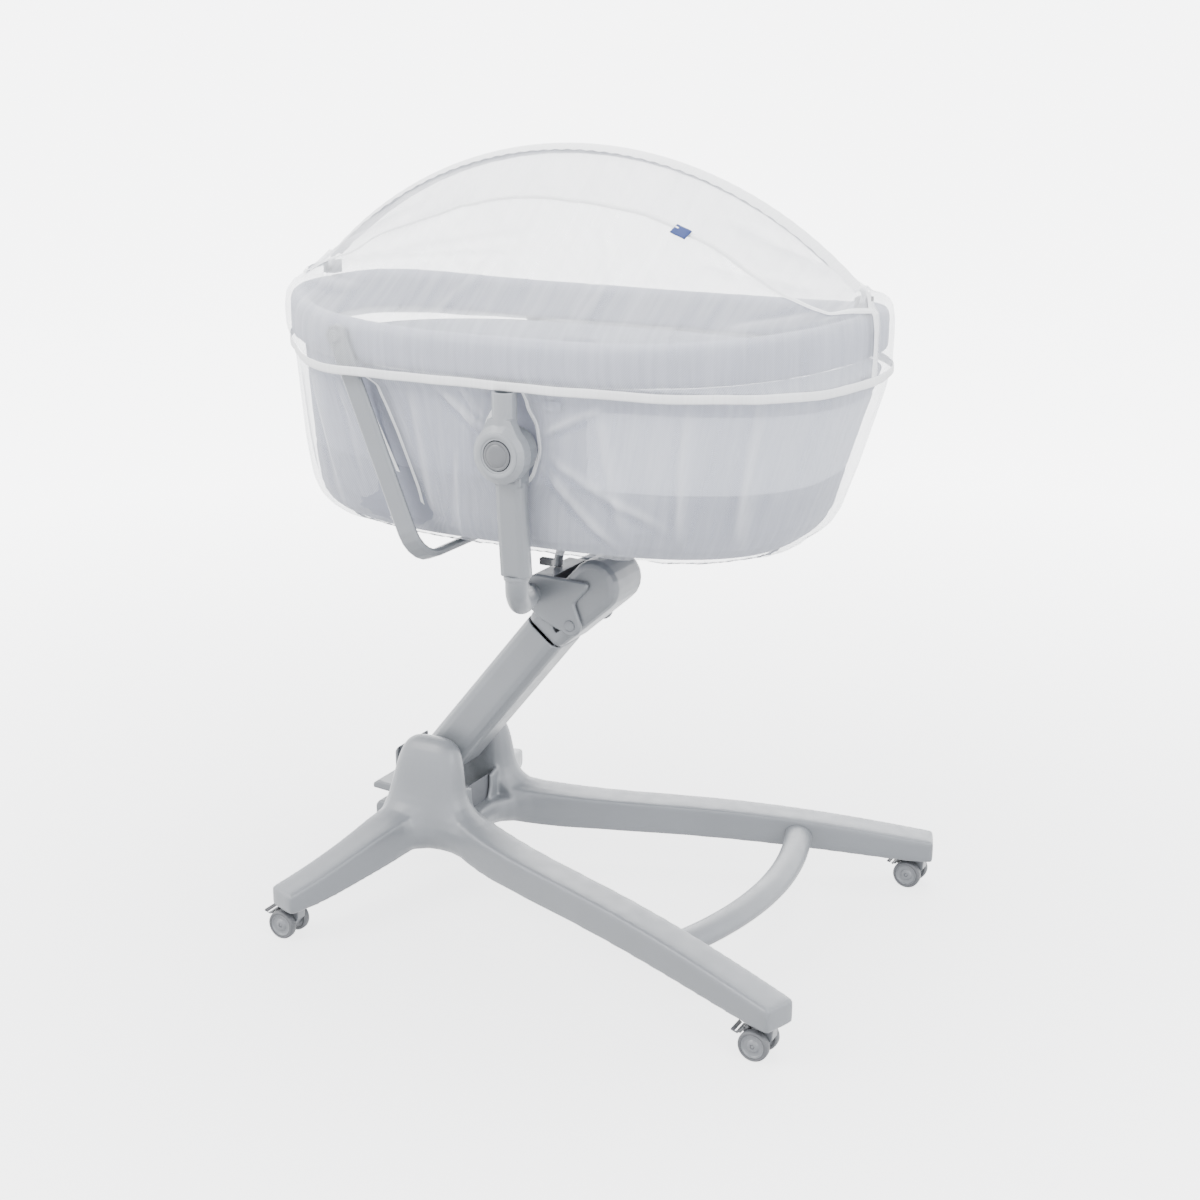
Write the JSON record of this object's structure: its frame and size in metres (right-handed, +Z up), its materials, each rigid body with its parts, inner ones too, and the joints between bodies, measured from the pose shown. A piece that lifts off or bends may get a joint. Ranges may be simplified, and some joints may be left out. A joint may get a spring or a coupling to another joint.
{
  "type": "bassinet on stand",
  "caption": "Oval fabric cot tub with a padded rim and an arched sheer net, held by a yoke on a tilting column over a four-legged wheeled base.",
  "frame": {"origin": "floor level, below the middle of the bounding box", "axes": "+X towards the ends of the long front legs, +Y across the tub to its left, +Z up"},
  "size_m": [1.0004, 0.7416, 1.2557],
  "materials": {
    "frame_grey": "satin",
    "pale_plastic": "satin",
    "dark_plastic": "matte",
    "button_grey": "satin",
    "steel": "brushed",
    "tub_fabric": "woven",
    "padded_fabric": "padded, woven",
    "net": "translucent tulle",
    "tape_white": "ribbed elastic",
    "mattress_fabric": "knitted cover",
    "board": "hardboard",
    "tyre": "matte",
    "rod_white": "satin"
  },
  "bodies": {
    "base": {"base_frame": "frame_grey", "crossbar": "frame_grey", "rear_cover": "frame_grey", "lower_pivot_pin": "steel", "lower_link_pin": "steel"},
    "pedal": {"pedal": "pale_plastic"},
    "column": {"column_shell": "frame_grey", "column_foot": "frame_grey", "elbow_head": "frame_grey"},
    "level_rod": {"level_rod": "steel"},
    "carrier": {"yoke_bracket": "frame_grey", "upper_pivot_pin": "steel", "upper_link_pin": "steel", "release_handle": "frame_grey", "yoke_arm_left": "frame_grey", "yoke_arm_right": "frame_grey", "arm_sleeve_left": "frame_grey", "arm_sleeve_right": "frame_grey"},
    "tub": {"tub_shell": "tub_fabric", "rim_frame": "steel", "padded_rim": "padded_fabric", "base_board": "board", "mattress": "mattress_fabric", "side_plate_left": "steel", "side_plate_right": "steel", "joint_pod_left": "pale_plastic", "joint_pod_right": "pale_plastic", "joint_cover_left": "pale_plastic", "joint_cover_right": "pale_plastic", "bail_pin_left": "pale_plastic", "bail_pin_right": "pale_plastic", "arch_socket_front": "dark_plastic", "arch_socket_rear": "dark_plastic", "net_front_panel": "net", "net_rear_panel": "net", "net_tape": "tape_white", "net_skirt": "net", "hem_clip": "dark_plastic"},
    "button_left": {"button_left": "button_grey"},
    "button_right": {"button_right": "button_grey"},
    "arch": {"arch_rod": "rod_white", "net_top_panel": "net"},
    "bail": {"bail": "frame_grey"},
    "caster_front_left": {"caster_fork_front_left": "pale_plastic"},
    "wheels_front_left": {"wheel_outer_front_left": "tyre", "wheel_inner_front_left": "tyre"},
    "brake_front_left": {"brake_lever_front_left": "dark_plastic"},
    "caster_front_right": {"caster_fork_front_right": "pale_plastic"},
    "wheels_front_right": {"wheel_outer_front_right": "tyre", "wheel_inner_front_right": "tyre"},
    "brake_front_right": {"brake_lever_front_right": "dark_plastic"},
    "caster_rear_left": {"caster_fork_rear_left": "pale_plastic"},
    "wheels_rear_left": {"wheel_outer_rear_left": "tyre", "wheel_inner_rear_left": "tyre"},
    "brake_rear_left": {"brake_lever_rear_left": "dark_plastic"},
    "caster_rear_right": {"caster_fork_rear_right": "pale_plastic"},
    "wheels_rear_right": {"wheel_outer_rear_right": "tyre", "wheel_inner_rear_right": "tyre"},
    "brake_rear_right": {"brake_lever_rear_right": "dark_plastic"}
  },
  "joints": [
    {"name": "pedal_press", "type": "hinge", "parent": "base", "child": "pedal", "pos_m": [-0.362, 0, 0.15], "axis": [0, 1, 0], "range_deg": [-8, 0], "stiffness_Nm_per_rad": 2},
    {"name": "column_tilt", "type": "hinge", "parent": "base", "child": "column", "pos_m": [-0.269, 0, 0.2125], "axis": [0, 1, 0], "range_deg": [0, 18]},
    {"name": "level_rod_turn", "type": "hinge", "parent": "base", "child": "level_rod", "pos_m": [-0.301, 0, 0.2125], "axis": [0, 1, 0], "range_deg": [0, 18]},
    {"name": "carrier_level", "type": "hinge", "parent": "column", "child": "carrier", "pos_m": [-0.003, 0, 0.508], "axis": [0, 1, 0], "range_deg": [-18, 0]},
    {"name": "tub_recline", "type": "hinge", "parent": "carrier", "child": "tub", "pos_m": [0.024, 0, 0.84], "axis": [0, 1, 0], "range_deg": [-8, 8]},
    {"name": "button_press_left", "type": "slide", "parent": "tub", "child": "button_left", "axis": [0, -1, 0], "range_m": [0, 0.003], "stiffness_N_per_m": 400},
    {"name": "button_press_right", "type": "slide", "parent": "tub", "child": "button_right", "axis": [0, 1, 0], "range_m": [0, 0.003], "stiffness_N_per_m": 400},
    {"name": "arch_fold", "type": "hinge", "parent": "tub", "child": "arch", "pos_m": [-0.0145, 0, 1.05], "axis": [-1, 0, 0], "range_deg": [0, 65], "deforming": ["net_rear_panel"]},
    {"name": "bail_swing", "type": "hinge", "parent": "tub", "child": "bail", "pos_m": [-0.275, 0, 0.985], "axis": [0, 1, 0], "range_deg": [0, 20]},
    {"name": "swivel_front_left", "type": "hinge", "parent": "base", "child": "caster_front_left", "pos_m": [0.474, 0.328, 0.05], "axis": [0, 0, 1], "continuous": true},
    {"name": "wheel_spin_front_left", "type": "hinge", "parent": "caster_front_left", "child": "wheels_front_left", "pos_m": [0.456, 0.328, 0.024], "axis": [0, 1, 0], "continuous": true},
    {"name": "brake_press_front_left", "type": "hinge", "parent": "caster_front_left", "child": "brake_front_left", "pos_m": [0.456, 0.328, 0.024], "axis": [0, 1, 0], "range_deg": [-10, 0]},
    {"name": "swivel_front_right", "type": "hinge", "parent": "base", "child": "caster_front_right", "pos_m": [0.474, -0.328, 0.05], "axis": [0, 0, 1], "continuous": true},
    {"name": "wheel_spin_front_right", "type": "hinge", "parent": "caster_front_right", "child": "wheels_front_right", "pos_m": [0.456, -0.328, 0.024], "axis": [0, 1, 0], "continuous": true},
    {"name": "brake_press_front_right", "type": "hinge", "parent": "caster_front_right", "child": "brake_front_right", "pos_m": [0.456, -0.328, 0.024], "axis": [0, 1, 0], "range_deg": [-10, 0]},
    {"name": "swivel_rear_left", "type": "hinge", "parent": "base", "child": "caster_rear_left", "pos_m": [-0.36, 0.334, 0.05], "axis": [0, 0, 1], "continuous": true},
    {"name": "wheel_spin_rear_left", "type": "hinge", "parent": "caster_rear_left", "child": "wheels_rear_left", "pos_m": [-0.378, 0.334, 0.024], "axis": [0, 1, 0], "continuous": true},
    {"name": "brake_press_rear_left", "type": "hinge", "parent": "caster_rear_left", "child": "brake_rear_left", "pos_m": [-0.378, 0.334, 0.024], "axis": [0, 1, 0], "range_deg": [-10, 0]},
    {"name": "swivel_rear_right", "type": "hinge", "parent": "base", "child": "caster_rear_right", "pos_m": [-0.36, -0.334, 0.05], "axis": [0, 0, 1], "continuous": true},
    {"name": "wheel_spin_rear_right", "type": "hinge", "parent": "caster_rear_right", "child": "wheels_rear_right", "pos_m": [-0.378, -0.334, 0.024], "axis": [0, 1, 0], "continuous": true},
    {"name": "brake_press_rear_right", "type": "hinge", "parent": "caster_rear_right", "child": "brake_rear_right", "pos_m": [-0.378, -0.334, 0.024], "axis": [0, 1, 0], "range_deg": [-10, 0]}
  ],
  "couplings": [
    {"joint": "level_rod_turn", "follows": "column_tilt", "ratio": 1},
    {"joint": "carrier_level", "follows": "column_tilt", "ratio": -1}
  ]
}
